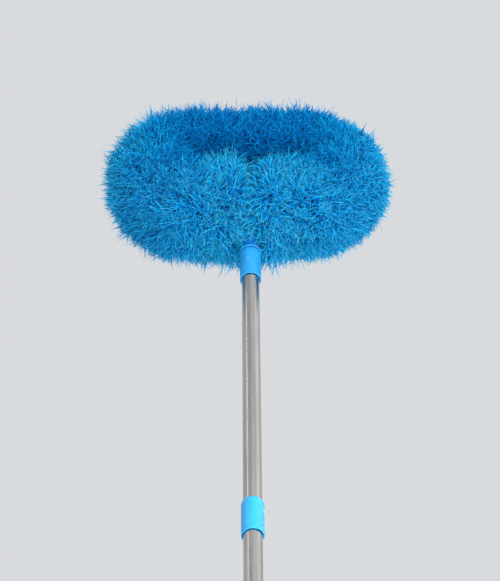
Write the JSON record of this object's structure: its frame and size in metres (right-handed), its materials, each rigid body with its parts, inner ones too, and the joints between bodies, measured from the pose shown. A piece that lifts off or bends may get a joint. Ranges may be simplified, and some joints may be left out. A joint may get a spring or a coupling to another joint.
{
  "type": "ceiling fan duster",
  "caption": "Long screw-together steel pole with blue sleeves and hand grip, carrying a bendable loop of blue microfibre pile with a slot for a fan blade.",
  "frame": {"origin": "on the pole's axis, in the middle of the hand grip", "axes": "+Z along the pole from the grip to the head; +X along the loop's long side; Y through the loop, as a fan blade passes"},
  "size_m": [0.3682, 0.1358, 1.701],
  "materials": {
    "tube_steel": "satin",
    "blue_plastic": "satin",
    "hub_plastic": "satin",
    "seal_rubber": "matte",
    "spring_wire": "satin",
    "sheath_plastic": "matte",
    "cover_fabric": "matte",
    "pile": "matte"
  },
  "bodies": {
    "handle": {"end_cap": "blue_plastic", "grip": "blue_plastic", "lower_tube": "tube_steel", "lower_sleeve": "blue_plastic"},
    "lower_seal": {"lower_washer": "seal_rubber"},
    "middle_section": {"middle_plug": "blue_plastic", "middle_tube": "tube_steel", "middle_sleeve": "blue_plastic"},
    "middle_seal": {"middle_washer": "seal_rubber"},
    "upper_section": {"upper_plug": "blue_plastic", "upper_tube": "tube_steel", "upper_sleeve": "blue_plastic"},
    "upper_seal": {"upper_washer": "seal_rubber"},
    "head": {"hub": "hub_plastic", "loop_wire": "spring_wire", "loop_sheath": "sheath_plastic", "ferrule_left": "tube_steel", "ferrule_right": "tube_steel", "ferrule_screw_left": "spring_wire", "ferrule_screw_right": "spring_wire", "cover_backing": "cover_fabric", "cuff_left": "cover_fabric", "cuff_right": "cover_fabric", "pile_top": "pile", "pile_bottom_left": "pile", "pile_bottom_right": "pile", "pile_corner_top_left": "pile", "pile_corner_top_right": "pile", "pile_corner_bottom_left": "pile", "pile_corner_bottom_right": "pile"}
  },
  "joints": [
    {"name": "lower_rise", "type": "slide", "parent": "handle", "child": "lower_seal", "axis": [0, 0, 1], "range_m": [0, 0.014]},
    {"name": "lower_turn", "type": "hinge", "parent": "lower_seal", "child": "middle_section", "pos_m": [0, 0, 0.3963], "axis": [0, 0, 1], "range_deg": [0, 1260]},
    {"name": "middle_rise", "type": "slide", "parent": "middle_section", "child": "middle_seal", "axis": [0, 0, 1], "range_m": [0, 0.014]},
    {"name": "middle_turn", "type": "hinge", "parent": "middle_seal", "child": "upper_section", "pos_m": [0, 0, 0.8617], "axis": [0, 0, 1], "range_deg": [0, 1260]},
    {"name": "head_rise", "type": "slide", "parent": "upper_section", "child": "upper_seal", "axis": [0, 0, 1], "range_m": [0, 0.014]},
    {"name": "head_turn", "type": "hinge", "parent": "upper_seal", "child": "head", "pos_m": [0, 0, 1.3271], "axis": [0, 0, 1], "range_deg": [0, 1260]}
  ],
  "couplings": [
    {"joint": "lower_turn", "follows": "lower_rise", "rad_per_m": 1570.8},
    {"joint": "middle_turn", "follows": "middle_rise", "rad_per_m": 1570.8},
    {"joint": "head_turn", "follows": "head_rise", "rad_per_m": 1570.8}
  ]
}
